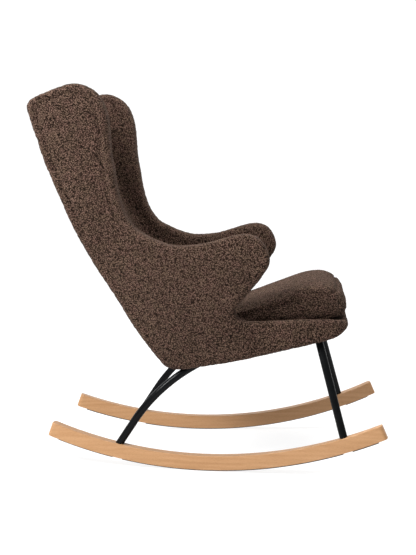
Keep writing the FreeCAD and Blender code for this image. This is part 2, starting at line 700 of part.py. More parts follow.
FT, OP, IP = D["frame_thick"], D["outer_pad_thick"], D["inner_pad_thick"]
F0, F1 = -4.0, -4.0 + FT
zs = [345, 400, 455, 510, 560]
LOWER_IN = ([(-8, over_seat(-8, 45.0)), (inner_at(331) + 1, 331)]
            + [(inner_at(z), z) for z in zs] + [(inner_at(588), 588), (-160, 611)]
            + ARM_LINE[1:] + [(110, over_seat(110, 45.0))])
for side, name in ((-1, "right"), (1, "left")):
    side_layer("side_frame_" + name, side, thin(inset(thin(LOWER, 14), D["panel_inset"]), 9),
               F0, F1, "Sheet.frame_thick", "sf" + name[0])
    side_layer("side_outer_pad_" + name, side, LOWER, F1 + 0.5, F1 + 0.5 + OP,
               "Sheet.outer_pad_thick", "so" + name[0])
    side_layer("side_inner_pad_" + name, side, LOWER_IN, F0 - 0.5 - IP, F0 - 0.5,
               "Sheet.inner_pad_thick", "si" + name[0])

# ---------------- wings: upright panels
UPPER_IN = ([(-157, 619), (inner_at(595), 595)]
            + [(inner_at(z), z) for z in (650, 710, 770, 830, 890, 930)]
            + [(inner_at(944), 944), (-347, 976)] + TOP_LINE[4:] + WING_FRONT[:-1])


def shift(pts):
    return [(x + CX, z) for x, z in pts]


for side, name in ((-1, "right"), (1, "left")):
    for label, pts, lo, hi, expr, tag in (
            ("wing_frame_", thin(inset(thin(UPPER, 14), D["panel_inset"]), 9), F0, F1,
             "Sheet.frame_thick", "wf"),
            ("wing_outer_pad_", UPPER, F1 + 0.5, F1 + 0.5 + OP, "Sheet.outer_pad_thick", "wo"),
            ("wing_inner_pad_", UPPER_IN, F0 - 0.5 - IP, F0 - 0.5, "Sheet.inner_pad_thick", "wi")):
        y = side * (D["wing_half_gap"] + (lo + hi) / 2.0)
        node(prism(label + name, "XZ_Plane", shift(pts), expr, tag + name[0],
                   FreeCAD.Placement(V(0, y, 0), FreeCAD.Rotation())))

# ---------------- back, between the side frames
BACK_PLAN = [(-206, 240), (-224, 534), (-239, 600), (-246.5, 650), (-246.5, 1000),
             (246.5, 1000), (246.5, 650), (239, 600), (224, 534), (206, 240)]


def back_piece(label, pts, tag):
    a = prism(label + "Side", "XZ_Plane", shift(pts), "600", tag)
    b = prism(label + "Front", "YZ_Plane", BACK_PLAN, "1200", tag + "p")
    c = common(label, [a, b])
    return node(c, label)


B1 = D["back_outer_thick"]
B2 = B1 + 0.3 + D["back_rail_thick"]
B3 = B2 + D["strap_thick"] + 0.6
TOPS = BACK_LEN - 26.0
back_piece("back_outer_pad", band(0, B1, 2.0, TOPS), "bo")
back_piece("back_inner_pad", band(B3, TT, 21.0, TOPS), "bi")
back_piece("back_top_pad", band(0, TT, TOPS + 1.0, BACK_LEN), "bt")
back_piece("back_bottom_rail", band(B1 + 0.3, B2, 6.0, 52.0), "br")
back_piece("back_lumbar_rail", band(B1 + 0.3, B2, 300.0, 345.0), "bl")
back_piece("back_top_rail", band(B1 + 0.3, B2, TOPS - 62.0, TOPS - 10.0), "bh")
strap_pts = band(B2 + 0.2, B2 + 0.2 + D["strap_thick"], 26.0, TOPS - 12.0)
straps = []
for i, y in enumerate((-150, -50, 50, 150)):
    b = prism("Strap%d" % i, "XZ_Plane", shift(strap_pts), "Sheet.strap_width", "st%d" % i,
              FreeCAD.Placement(V(0, y, 0), FreeCAD.Rotation()))
    straps.append(b)
node(group("back_straps", straps))

# ---------------- seat base in front of the arms, built in the seat plane
BH = D["base_half_width"]
RAIL = [(118, 3), (336.5, 3), (336.5, 34), (118, 34)]
for side, name in ((-1, "right"), (1, "left")):
    y = side * (BH - D["base_pad_thick"] - 0.5 - D["base_rail_thick"] / 2)
    node(prism("base_rail_" + name, "XZ_Plane", RAIL, "Sheet.base_rail_thick", "ra" + name[0],
               seat_pl(y)))
    BASE_SIDE = [uw(119, zb(119) + 1), uw(341, 347), uw(361, 358), uw(368, 374), uw(372, 386),
                 uw(366, 396), uw(340, 391), uw(240, 388), uw(119, 386)]
    y = side * (BH - D["base_pad_thick"] / 2)
    node(prism("base_side_pad_" + name, "XZ_Plane", BASE_SIDE, "Sheet.base_pad_thick",
               "bs" + name[0], seat_pl(y)))
node(prism("base_front_rail", "XZ_Plane", [(337, 3), (352, 3), (352, 34), (337, 34)],
           "2 * (Sheet.base_half_width - Sheet.base_pad_thick - 0.5)", "rf", seat_pl()))
node(prism("base_front_pad", "XZ_Plane",
           [(352.5, 1), (371, 7), (382, 22), (388, 34), (386, 42), (352.5, 42)],
           "2 * (Sheet.base_half_width - Sheet.base_pad_thick - 0.5)", "fp", seat_pl()))

# ---------------- loose cushion
CL = D["cushion_low"]
CUSH_SIDE = [(-4, CL), (-37, 131), (60, 134), (150, 140), (300, 152), (350, 147), (380, 126),
             (396, 96), (397, 64), (387, CL)]
CUSH_PLAN = [(-60, -196), (125, -230), (200, -247), (340, -250), (378, -240), (400, -215),
             (400, 215), (378, 240), (340, 250), (200, 247), (125, 230), (-60, 196)]
a = prism("CushionSide", "XZ_Plane", CUSH_SIDE, "600", "cs", seat_pl())
b = prism("CushionPlan", "XY_Plane", CUSH_PLAN, "400", "cp", seat_pl(0, -20), both=False)
node(common("seat_cushion", [a, b]), "seat_cushion")

doc.recompute()

# ------------------------------------------------------------------ check and write
bad = []
for o in doc.Objects:
    st = [s for s in o.State if s in ("Invalid", "Error")]
    if st:
        bad.append((o.Name, st))
for o in NODES:
    sh = o.Shape
    if sh.isNull() or not sh.isValid() or sh.Volume <= 0:
        bad.append((o.Label, "shape"))
if bad:
    for x in bad:
        print("FAILED", x)
    raise RuntimeError("objects failed: %d" % len(bad))
labels = [o.Label for o in NODES]
if len(set(labels)) != len(labels):
    raise RuntimeError("labels repeat")
box = None
for o in NODES:
    bb = o.Shape.optimalBoundingBox(False) if hasattr(o.Shape, "optimalBoundingBox") else o.Shape.BoundBox
    if box is None:
        box = FreeCAD.BoundBox(bb)
    else:
        box.add(bb)
    o.Shape.exportStep("parts/%s.step" % o.Label)
print("nodes", len(NODES))
print("box x %.2f %.2f  y %.2f %.2f  z %.2f %.2f" % (box.XMin, box.XMax, box.YMin, box.YMax,
                                                     box.ZMin, box.ZMax))
for o in NODES:
    print("%-24s solids %d  volume %.0f" % (o.Label, len(o.Shape.Solids), o.Shape.Volume))
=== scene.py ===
import math
import bpy
import numpy as np
from mathutils import Matrix, Vector


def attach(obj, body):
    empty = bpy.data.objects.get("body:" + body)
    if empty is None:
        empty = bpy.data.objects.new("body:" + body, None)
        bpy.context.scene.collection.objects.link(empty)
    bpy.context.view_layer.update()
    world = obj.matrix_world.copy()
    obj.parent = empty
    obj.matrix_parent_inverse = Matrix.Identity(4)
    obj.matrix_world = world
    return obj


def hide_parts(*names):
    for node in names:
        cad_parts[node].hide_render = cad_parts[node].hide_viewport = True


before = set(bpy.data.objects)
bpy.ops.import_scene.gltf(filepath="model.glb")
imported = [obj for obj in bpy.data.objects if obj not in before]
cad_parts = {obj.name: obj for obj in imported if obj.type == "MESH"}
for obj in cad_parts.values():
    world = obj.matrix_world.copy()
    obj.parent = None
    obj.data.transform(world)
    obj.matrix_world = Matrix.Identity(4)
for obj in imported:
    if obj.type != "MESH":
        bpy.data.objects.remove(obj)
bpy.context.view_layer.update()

# A winged rocking chair. Lengths inside the shape code are millimetres in the model's
# frame with x counted from the rockers' contact line (x_model = x + CX); the meshes
# are written in metres.
CX = -14.7
TILT = math.radians(12.87)
CT, ST = math.cos(TILT), math.sin(TILT)
SEAT_Z = 266.4

# ------------------------------------------------------------------ small tools


def smoothstep(a, b, v):
    t = np.clip((v - a) / (b - a), 0.0, 1.0)
    return t * t * (3.0 - 2.0 * t)


def smin(a, b, k):
    h = np.maximum(k - np.abs(a - b), 0.0) / k
    return np.minimum(a, b) - h * h * k * 0.25


def smax(a, b, k):
    return -smin(-a, -b, k)


def curve_through(pts, closed, per):
    """Catmull-Rom curve through the points, per steps on each span."""
    p = np.asarray(pts, float)
    n = len(p)
    out = []
    spans = n if closed else n - 1
    for i in range(spans):
        if closed:
            a, b, c, d = p[(i - 1) % n], p[i], p[(i + 1) % n], p[(i + 2) % n]
        else:
            b, c = p[i], p[i + 1]
            a = p[i - 1] if i > 0 else 2 * b - c
            d = p[i + 2] if i + 2 < n else 2 * c - b
        la = max(np.linalg.norm(b - a), 1e-6)
        lb = max(np.linalg.norm(c - b), 1e-6)
        lc = max(np.linalg.norm(d - c), 1e-6)
        m1 = ((b - a) / la * lb + (c - b)) * 0.5
        m2 = ((c - b) + (d - c) / lc * lb) * 0.5
        for k in range(per):
            t = k / per
            out.append((2 * t**3 - 3 * t**2 + 1) * b + (t**3 - 2 * t**2 + t) * m1
                       + (-2 * t**3 + 3 * t**2) * c + (t**3 - t**2) * m2)
    if not closed:
        out.append(p[-1])
    return np.array(out)


def polygon_distance(px, pz, poly):
    """Signed distance (inside negative) of the points to a closed polygon."""
    best = np.full(px.shape, 1e9)
    inside = np.zeros(px.shape, bool)
    n = len(poly)
    for i in range(n):
        ax, az = poly[i]
        bx, bz = poly[(i + 1) % n]
        ex, ez = bx - ax, bz - az
        ln = ex * ex + ez * ez
        if ln < 1e-9:
            continue
        t = np.clip(((px - ax) * ex + (pz - az) * ez) / ln, 0, 1)
        best = np.minimum(best, (px - ax - t * ex) ** 2 + (pz - az - t * ez) ** 2)
        if abs(ez) > 1e-12:
            hit = ((az > pz) != (bz > pz)) & (px < (bx - ax) * (pz - az) / ez + ax)
            inside ^= hit
    best = np.sqrt(best)
    return np.where(inside, -best, best)


def line_distance(px, pz, line):
    """Distance to an open polyline, positive on its +x side."""
    best = np.full(px.shape, 1e18)
    sign = np.ones(px.shape)
    for a, b in zip(line[:-1], line[1:]):
        e = b - a
        t = np.clip(((px - a[0]) * e[0] + (pz - a[1]) * e[1]) / (e @ e), 0, 1)
        dd = (px - a[0] - t * e[0]) ** 2 + (pz - a[1] - t * e[1]) ** 2
        side = (px - a[0]) * e[1] - (pz - a[1]) * e[0]
        near = dd < best
        best = np.where(near, dd, best)
        sign = np.where(near, np.where(side >= 0, 1.0, -1.0), sign)
    return np.sqrt(best) * sign


def hashed(ix, iy, iz, salt):
    h = (ix.astype(np.uint32) * np.uint32(73856093) ^ iy.astype(np.uint32) * np.uint32(19349663)
         ^ iz.astype(np.uint32) * np.uint32(83492791) ^ np.uint32(salt * 2654435761 & 0xFFFFFFFF))
    h ^= h >> np.uint32(13)
    h *= np.uint32(1274126177)
    h ^= h >> np.uint32(16)
    return (h & np.uint32(0xFFFFFF)).astype(float) / float(0xFFFFFF)


def value_noise(p, cell, salt):
    q = p / cell
    i = np.floor(q).astype(np.int64)
    f = q - i
    f = f * f * (3 - 2 * f)
    out = np.zeros(len(p))
    for dx in (0, 1):
        for dy in (0, 1):
            for dz in (0, 1):
                w = ((f[:, 0] if dx else 1 - f[:, 0]) * (f[:, 1] if dy else 1 - f[:, 1])
                     * (f[:, 2] if dz else 1 - f[:, 2]))
                out += w * hashed(i[:, 0] + dx, i[:, 1] + dy, i[:, 2] + dz, salt)
    return out * 2 - 1


def loops_noise(p, cell, salt):
    """Rounded lumps, one about every cell: 1 on a lump, 0 between lumps."""
    q = p / cell
    i = np.floor(q).astype(np.int64)
    best = np.full(len(p), 9.0)
    for dx in (-1, 0, 1):
        for dy in (-1, 0, 1):
            for dz in (-1, 0, 1):
                cx, cy, cz = i[:, 0] + dx, i[:, 1] + dy, i[:, 2] + dz
                d = ((cx + hashed(cx, cy, cz, salt) - q[:, 0]) ** 2
                     + (cy + hashed(cx, cy, cz, salt + 1) - q[:, 1]) ** 2
                     + (cz + hashed(cx, cy, cz, salt + 2) - q[:, 2]) ** 2)
                best = np.minimum(best, d)
    return np.clip(1.0 - best * 1.15, 0.0, 1.0)


def surface_nets(field, origin, step):
    """Quads of the zero level of a field on a regular grid (inside negative)."""
    s = field < 0
    nx, ny, nz = field.shape
    c = [s[i:nx - 1 + i, j:ny - 1 + j, k:nz - 1 + k] for i in (0, 1) for j in (0, 1) for k in (0, 1)]
    tot = np.zeros((nx - 1, ny - 1, nz - 1), np.int8)
    for a in c:
        tot += a
    cells = np.argwhere((tot > 0) & (tot < 8))
    index = np.full((nx - 1, ny - 1, nz - 1), -1, np.int64)
    index[cells[:, 0], cells[:, 1], cells[:, 2]] = np.arange(len(cells))
    acc = np.zeros((len(cells), 3))
    num = np.zeros(len(cells))
    corner = [(i, j, k) for i in (0, 1) for j in (0, 1) for k in (0, 1)]
    for a in corner:
        for ax in range(3):
            if a[ax]:
                continue
            b = list(a)
            b[ax] = 1
            va = field[cells[:, 0] + a[0], cells[:, 1] + a[1], cells[:, 2] + a[2]]
            vb = field[cells[:, 0] + b[0], cells[:, 1] + b[1], cells[:, 2] + b[2]]
            cross = (va < 0) != (vb < 0)
            t = np.where(cross, va / np.where(va == vb, 1, va - vb), 0)
            p = np.tile(np.array(a, float), (len(cells), 1))
            p[:, ax] = t
            acc += p * cross[:, None]
            num += cross
    verts = cells + acc / num[:, None]
    quads = []
    for ax in range(3):
        u, v = [(1, 2), (2, 0), (0, 1)][ax]
        lo = [slice(None)] * 3
        hi = [slice(None)] * 3
        lo[ax] = slice(0, field.shape[ax] - 1)
        hi[ax] = slice(1, field.shape[ax])
        flip = s[tuple(lo)] != s[tuple(hi)]
        flip[tuple([0 if d == u else slice(None) for d in range(3)])] = False
        flip[tuple([0 if d == v else slice(None) for d in range(3)])] = False
        e = np.argwhere(flip)
        ok = (e[:, u] < field.shape[u] - 1) & (e[:, v] < field.shape[v] - 1)
        e = e[ok]
        q = []
        for du, dv in ((-1, -1), (0, -1), (0, 0), (-1, 0)):
            w = e.copy()
            w[:, u] += du
            w[:, v] += dv
            q.append(index[w[:, 0], w[:, 1], w[:, 2]])
        q = np.stack(q, 1)
        first = s[e[:, 0], e[:, 1], e[:, 2]]
        q[~first] = q[~first][:, ::-1]
        quads.append(q)
    quads = np.concatenate(quads)
    return verts * step + origin, quads


class Field:
    def __init__(self, values, origin, step):
        self.v, self.o, self.h = values, np.asarray(origin, float), step

    def at(self, p):
        q = (p - self.o) / self.h
        top = np.array(self.v.shape) - 1.001
        q = np.clip(q, 0, top)
        i = q.astype(int)
        f = q - i
        out = 0
        for dx in (0, 1):
            for dy in (0, 1):
                for dz in (0, 1):
                    w = ((f[:, 0] if dx else 1 - f[:, 0]) * (f[:, 1] if dy else 1 - f[:, 1])
                         * (f[:, 2] if dz else 1 - f[:, 2]))
                    out = out + w * self.v[i[:, 0] + dx, i[:, 1] + dy, i[:, 2] + dz]
        return out

    def slope(self, p):
        e = self.h * 0.5
        g = np.stack([self.at(p + d) - self.at(p - d) for d in np.eye(3) * e], 1) / (2 * e)
        return g


def relax(verts, quads, field, rounds, last_pull=2):
    """Even the quads out by averaging along edges, then bring them back to the surface."""
    edges = np.concatenate([quads[:, [0, 1]], quads[:, [1, 2]], quads[:, [2, 3]], quads[:, [3, 0]]])
    n = len(verts)
    deg = np.bincount(edges.ravel(), minlength=n).astype(float)
    for r in range(rounds + 1):
        if r < rounds:
            acc = np.stack([np.bincount(edges[:, 0], verts[edges[:, 1], k], n)
                            + np.bincount(edges[:, 1], verts[edges[:, 0], k], n)
                            for k in range(3)], 1)
            verts = verts * 0.4 + 0.6 * acc / deg[:, None]
        for _ in range(last_pull):
            g = field.slope(verts)
            ln = np.maximum(np.linalg.norm(g, axis=1), 0.35)
            verts = verts - g * (np.clip(field.at(verts), -3, 3) / (ln * ln))[:, None]
    return verts


def vertex_normals(verts, quads):
    a = verts[quads[:, 2]] - verts[quads[:, 0]]
    b = verts[quads[:, 3]] - verts[quads[:, 1]]
    fn = np.cross(a, b)
    out = np.zeros_like(verts)
    for k in range(4):
        for d in range(3):
            out[:, d] += np.bincount(quads[:, k], fn[:, d], len(verts))
    return out / np.maximum(np.linalg.norm(out, axis=1), 1e-9)[:, None]


def mesh_from(name, verts_mm, quads):
    me = bpy.data.meshes.new(name)
    me.vertices.add(len(verts_mm))
    me.vertices.foreach_set("co", (verts_mm / 1000.0).astype(np.float32).ravel())
    me.loops.add(len(quads) * 4)
    me.loops.foreach_set("vertex_index", quads.astype(np.int32).ravel())
    me.polygons.add(len(quads))
    me.polygons.foreach_set("loop_start", np.arange(0, len(quads) * 4, 4, dtype=np.int32))
    me.polygons.foreach_set("use_smooth", np.ones(len(quads), bool))
    me.update(calc_edges=True)
    me.validate()
    ob = bpy.data.objects.new(name, me)
    bpy.context.scene.collection.objects.link(ob)
    return ob


def coords(ob):
    co = np.empty(len(ob.data.vertices) * 3, np.float32)
    ob.data.vertices.foreach_get("co", co)
    return co.reshape(-1, 3).astype(float)


def set_coords(ob, co):
    ob.data.vertices.foreach_set("co", np.asarray(co, np.float32).ravel())
    ob.data.update()


# ------------------------------------------------------------------ materials


def new_mat(name):
    m = bpy.data.materials.new(name)
    m.use_nodes = True
    nt = m.node_tree
    nt.nodes.clear()
    out = nt.nodes.new("ShaderNodeOutputMaterial")
    bs = nt.nodes.new("ShaderNodeBsdfPrincipled")
    nt.links.new(bs.outputs["BSDF"], out.inputs["Surface"])
    return m, nt, bs


def place(nt, scale=(1, 1, 1), rot=(0, 0, 0)):
    tc = nt.nodes.new("ShaderNodeTexCoord")
    mp = nt.nodes.new("ShaderNodeMapping")
    mp.inputs["Scale"].default_value = scale
    mp.inputs["Rotation"].default_value = rot
    nt.links.new(tc.outputs["Object"], mp.inputs["Vector"])
    return mp.outputs["Vector"]


def noise(nt, vec, scale, detail=3.0, rough=0.55, distort=0.0):
    n = nt.nodes.new("ShaderNodeTexNoise")
    n.inputs["Scale"].default_value = scale
    n.inputs["Detail"].default_value = detail
    n.inputs["Roughness"].default_value = rough
    n.inputs["Distortion"].default_value = distort
    nt.links.new(vec, n.inputs["Vector"])
    return n


def voronoi(nt, vec, scale, feature="F1", randomness=1.0):
    n = nt.nodes.new("ShaderNodeTexVoronoi")
    n.feature = feature
    n.inputs["Scale"].default_value = scale
    n.inputs["Randomness"].default_value = randomness
    nt.links.new(vec, n.inputs["Vector"])
    return n


def ramp(nt, fac, stops):
    r = nt.nodes.new("ShaderNodeValToRGB")
    el = r.color_ramp.elements
    while len(el) > len(stops):
        el.remove(el[-1])
    while len(el) < len(stops):
        el.new(0.5)
    for e, (pos, col) in zip(el, stops):
        e.position = pos
        e.color = (*col, 1.0) if len(col) == 3 else col
    nt.links.new(fac, r.inputs["Fac"])
    return r.outputs["Color"]


def math_node(nt, op, a, b=None, clamp=False):
    n = nt.nodes.new("ShaderNodeMath")
    n.operation = op
    n.use_clamp = clamp
    for k, v in enumerate((a, b)):
        if v is None:
            continue
        if isinstance(v, (int, float)):
            n.inputs[k].default_value = v
        else:
            nt.links.new(v, n.inputs[k])
    return n.outputs[0]


def mix(nt, fac, a, b, mode="MIX"):
    n = nt.nodes.new("ShaderNodeMix")
    n.data_type = "RGBA"
    n.blend_type = mode
    if isinstance(fac, (int, float)):
        n.inputs["Factor"].default_value = fac
    else:
        nt.links.new(fac, n.inputs["Factor"])
    for key, v in (("A", a), ("B", b)):
        sock = [s for s in n.inputs if s.name == key and s.type == "RGBA"][0]
        if isinstance(v, tuple):
            sock.default_value = (*v, 1.0)
        else:
            nt.links.new(v, sock)
    return [s for s in n.outputs if s.type == "RGBA"][0]


def bump(nt, bs, height, strength, distance, before=None):
    b = nt.nodes.new("ShaderNodeBump")
    b.inputs["Strength"].default_value = strength
    b.inputs["Distance"].default_value = distance
    nt.links.new(height, b.inputs["Height"])
    if before is not None:
        nt.links.new(before, b.inputs["Normal"])
    nt.links.new(b.outputs["Normal"], bs.inputs["Normal"])
    return b.outputs["Normal"]


def boucle(name, light=(0.079, 0.0483, 0.0360), mid=(0.0335, 0.0195, 0.0138), dark=(0.0058, 0.0030, 0.0018)):
    """Looped yarn: curly loops a few millimetres across, with painted shade in the gaps between them and painted
    highlights on the loop tops.
    """
    m, nt, bs = new_mat(name)
    vec = place(nt)
    # warp the space so that the loops curl
    wob = noise(nt, vec, 330.0, 2.0, 0.6)
    sub = nt.nodes.new("ShaderNodeVectorMath")
    sub.operation = "MULTIPLY_ADD"
    sub.inputs[1].default_value = (0.0028, 0.0028, 0.0028)
    nt.links.new(wob.outputs["Color"], sub.inputs[0])
    nt.links.new(vec, sub.inputs[2])
    curl = sub.outputs["Vector"]
    loops = voronoi(nt, curl, 305.0)
    fine = voronoi(nt, curl, 600.0)
    clus = noise(nt, vec, 120.0, 3.0, 0.6)
    h1 = math_node(nt, "SUBTRACT", 1.0, math_node(nt, "MULTIPLY", loops.outputs["Distance"], 1.3))
    h2 = math_node(nt, "SUBTRACT", 1.0, math_node(nt, "MULTIPLY", fine.outputs["Distance"], 1.2))
    h = math_node(nt, "ADD", math_node(nt, "MULTIPLY", h1, 0.62), math_node(nt, "MULTIPLY", h2, 0.35))
    h = math_node(nt, "ADD", h, math_node(nt, "MULTIPLY",
                                          math_node(nt, "SUBTRACT", clus.outputs["Fac"], 0.5), 0.05))
    # painted shade: the dark stop darkens the gaps between the loops; painted highlight: the top stop at 2.7
    # times the light colour brightens the loop tops; the mid and light stops are the yarn's own brown
    col = ramp(nt, h, [(0.155, dark), (0.30, mid), (0.455, light), (0.66, tuple(c * 2.7 for c in light))])
    # patches a little redder and a little greener, from yarns of two lots
    tone = noise(nt, vec, 48.0, 2.0, 0.5)
    warm = ramp(nt, tone.outputs["Fac"], [(0.34, (0.97, 1.01, 0.96)), (0.52, (1.0, 1.0, 1.0)),
                                          (0.68, (1.03, 0.975, 1.01))])
    col = mix(nt, 1.0, col, warm, "MULTIPLY")
    wide = noise(nt, vec, 7.0, 2.0, 0.5)
    worn = ramp(nt, wide.outputs["Fac"], [(0.3, (0.92, 0.92, 0.92)), (0.7, (1.08, 1.08, 1.08))])
    col = mix(nt, 1.0, col, worn, "MULTIPLY")
    nt.links.new(col, bs.inputs["Base Color"])
    bs.inputs["Roughness"].default_value = 0.95
    bs.inputs["Specular IOR Level"].default_value = 0.05
    bs.inputs["Sheen Weight"].default_value = 0.10
    bs.inputs["Sheen Roughness"].default_value = 0.5
    bs.inputs["Sheen Tint"].default_value = (0.55, 0.42, 0.33, 1.0)
    bump(nt, bs, h, 1.0, 0.0030)
    return m


def oak(name):
    m, nt, bs = new_mat(name)
    long = place(nt, (1.3, 9.0, 22.0))
    growth = noise(nt, long, 5.0, 3.0, 0.5, 0.5)
    rings = nt.nodes.new("ShaderNodeTexWave")
    rings.bands_direction = "Z"
    rings.inputs["Scale"].default_value = 26.0
    rings.inputs["Distortion"].default_value = 5.0
    rings.inputs["Detail"].default_value = 2.0
    rings.inputs["Detail Scale"].default_value = 0.8
    nt.links.new(place(nt, (0.35, 0.6, 1.0), (0.0, 0.06, 0.0)), rings.inputs["Vector"])
    fibre = noise(nt, place(nt, (6.0, 330.0, 330.0)), 3.0, 3.0, 0.6)
    pores = noise(nt, place(nt, (30.0, 900.0, 900.0)), 1.6, 1.0, 0.5)
    col = ramp(nt, growth.outputs["Fac"], [(0.30, (0.382, 0.205, 0.092)), (0.50, (0.408, 0.223, 0.104)),
                                           (0.70, (0.435, 0.243, 0.118))])
    band = ramp(nt, rings.outputs["Fac"], [(0.10, (0.90, 0.87, 0.83)), (0.55, (1.0, 1.0, 1.0)),
                                           (0.95, (1.05, 1.05, 1.06))])
    col = mix(nt, 0.38, col, band, "MULTIPLY")
    thin = ramp(nt, fibre.outputs["Fac"], [(0.32, (0.92, 0.90, 0.87)), (0.60, (1.03, 1.03, 1.03))])
    col = mix(nt, 1.0, col, thin, "MULTIPLY")
    dots = ramp(nt, pores.outputs["Fac"], [(0.30, (0.70, 0.63, 0.56)), (0.37, (1, 1, 1))])
    col = mix(nt, 0.55, col, dots, "MULTIPLY")
    nt.links.new(col, bs.inputs["Base Color"])
    r = ramp(nt, fibre.outputs["Fac"], [(0.3, (0.52, 0.52, 0.52)), (0.7, (0.42, 0.42, 0.42))])
    nt.links.new(r, bs.inputs["Roughness"])
    bs.inputs["Specular IOR Level"].default_value = 0.3
    bs.inputs["Coat Weight"].default_value = 0.08
    bs.inputs["Coat Roughness"].default_value = 0.3
    bump(nt, bs, pores.outputs["Fac"], 0.2, 0.0003)
    return m


def plywood(name):
    m, nt, bs = new_mat(name)
    g = noise(nt, place(nt, (4.0, 60.0, 60.0)), 3.0, 4.0, 0.6)
    col = ramp(nt, g.outputs["Fac"], [(0.3, (0.42, 0.29, 0.17)), (0.6, (0.58, 0.43, 0.27)),
                                      (0.8, (0.50, 0.36, 0.22))])
    f = noise(nt, place(nt, (12.0, 300.0, 300.0)), 2.0, 2.0, 0.5)
    col = mix(nt, 0.5, col, ramp(nt, f.outputs["Fac"], [(0.35, (0.8, 0.76, 0.7)), (0.6, (1.05, 1.05, 1.05))]),
              "MULTIPLY")
    nt.links.new(col, bs.inputs["Base Color"])
    bs.inputs["Roughness"].default_value = 0.7
    bump(nt, bs, f.outputs["Fac"], 0.3, 0.0004)
    return m


def powder(name):
    """Satin black powder coat with a fine orange peel."""
    m, nt, bs = new_mat(name)
    vec = place(nt)
    peel = noise(nt, vec, 700.0, 2.0, 0.5)
    wear = noise(nt, vec, 22.0, 3.0, 0.6)
    col = ramp(nt, wear.outputs["Fac"], [(0.35, (0.0030, 0.0034, 0.0037)), (0.7, (0.0052, 0.0058, 0.0062))])
    nt.links.new(col, bs.inputs["Base Color"])
    r = ramp(nt, wear.outputs["Fac"], [(0.3, (0.20, 0.20, 0.20)), (0.7, (0.31, 0.31, 0.31))])
    nt.links.new(r, bs.inputs["Roughness"])
    bs.inputs["Specular IOR Level"].default_value = 0.04
    bs.inputs["Coat Weight"].default_value = 0.09
    bs.inputs["Coat Roughness"].default_value = 0.08
    bump(nt, bs, peel.outputs["Fac"], 0.16, 0.0003)
    return m


def zinc(name):
    m, nt, bs = new_mat(name)
    vec = place(nt)
    n = noise(nt, vec, 400.0, 3.0, 0.6)
    col = ramp(nt, n.outputs["Fac"], [(0.3, (0.42, 0.42, 0.42)), (0.7, (0.60, 0.60, 0.59))])
    nt.links.new(col, bs.inputs["Base Color"])
    bs.inputs["Metallic"].default_value = 1.0
    r = ramp(nt, n.outputs["Fac"], [(0.3, (0.30, 0.30, 0.30)), (0.7, (0.45, 0.45, 0.45))])
    nt.links.new(r, bs.inputs["Roughness"])
    bump(nt, bs, n.outputs["Fac"], 0.1, 0.0002)
    return m


def rubber(name):
    m, nt, bs = new_mat(name)
    vec = place(nt)
    n = noise(nt, vec, 520.0, 3.0, 0.6)
    dust = noise(nt, vec, 30.0, 3.0, 0.6)
    col = ramp(nt, dust.outputs["Fac"], [(0.3, (0.013, 0.012, 0.011)), (0.75, (0.030, 0.027, 0.024))])
    nt.links.new(col, bs.inputs["Base Color"])
    r = ramp(nt, n.outputs["Fac"], [(0.3, (0.78, 0.78, 0.78)), (0.7, (0.92, 0.92, 0.92))])
    nt.links.new(r, bs.inputs["Roughness"])
    bump(nt, bs, n.outputs["Fac"], 0.4, 0.0004)
    return m


def woven(name, dark, light, pitch):
    """Plain weave for webbing and lining."""
    m, nt, bs = new_mat(name)
    vec = place(nt)
    w1 = nt.nodes.new("ShaderNodeTexWave")
    w1.bands_direction = "X"
    w1.inputs["Scale"].default_value = pitch
    w1.inputs["Distortion"].default_value = 0.6
    nt.links.new(vec, w1.inputs["Vector"])
    w2 = nt.nodes.new("ShaderNodeTexWave")
    w2.bands_direction = "Y"
    w2.inputs["Scale"].default_value = pitch
    w2.inputs["Distortion"].default_value = 0.6
    nt.links.new(vec, w2.inputs["Vector"])
    h = math_node(nt, "MULTIPLY", w1.outputs["Fac"], w2.outputs["Fac"])
    n = noise(nt, vec, 60.0, 3.0, 0.6)
    hh = math_node(nt, "ADD", math_node(nt, "MULTIPLY", h, 0.7), math_node(nt, "MULTIPLY", n.outputs["Fac"], 0.3))
    nt.links.new(ramp(nt, hh, [(0.15, dark), (0.75, light)]), bs.inputs["Base Color"])
    bs.inputs["Roughness"].default_value = 0.9
    bs.inputs["Sheen Weight"].default_value = 0.1
    bump(nt, bs, hh, 0.5, 0.0006)
    return m


MAT = {
    "boucle": boucle("boucle_brown"),
    "oak": oak("oak_lacquered"),
    "plywood": plywood("plywood_birch"),
    "black_steel": powder("steel_black_coat"),
    "steel": zinc("steel_zinc"),
    "grip": rubber("grip_rubber"),
    "webbing": woven("webbing_weave", (0.02, 0.018, 0.015), (0.09, 0.08, 0.07), 420.0),
    "lining": woven("lining_weave", (0.006, 0.006, 0.006), (0.022, 0.021, 0.020), 520.0),
}
BY_NODE = (
    ("rocker_bolts", "steel"), ("rocker_washers", "steel"), ("rocker_", "oak"),
    ("grip_strip", "grip"), ("leg_thread_plugs", "steel"), ("front_leg_frame", "black_steel"),
    ("rear_leg_frame", "black_steel"), ("front_mount_plates", "black_steel"),
    ("rear_mount_plates", "black_steel"), ("seat_bolts", "steel"), ("tee_nuts", "steel"),
    ("seat_board", "plywood"), ("side_frame", "plywood"), ("wing_frame", "plywood"),
    ("back_bottom_rail", "plywood"), ("back_lumbar_rail", "plywood"), ("back_top_rail", "plywood"),
    ("base_rail", "plywood"), ("base_front_rail", "plywood"), ("back_straps", "webbing"),
    ("dust_cover", "lining"),
)
for node_name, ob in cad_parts.items():
    pick = "boucle"
    for start, key in BY_NODE:
        if node_name.startswith(start):
            pick = key
            break
    if not ob.material_slots:
        ob.data.materials.append(MAT[pick])
    for sl in ob.material_slots:
        sl.material = MAT[pick]

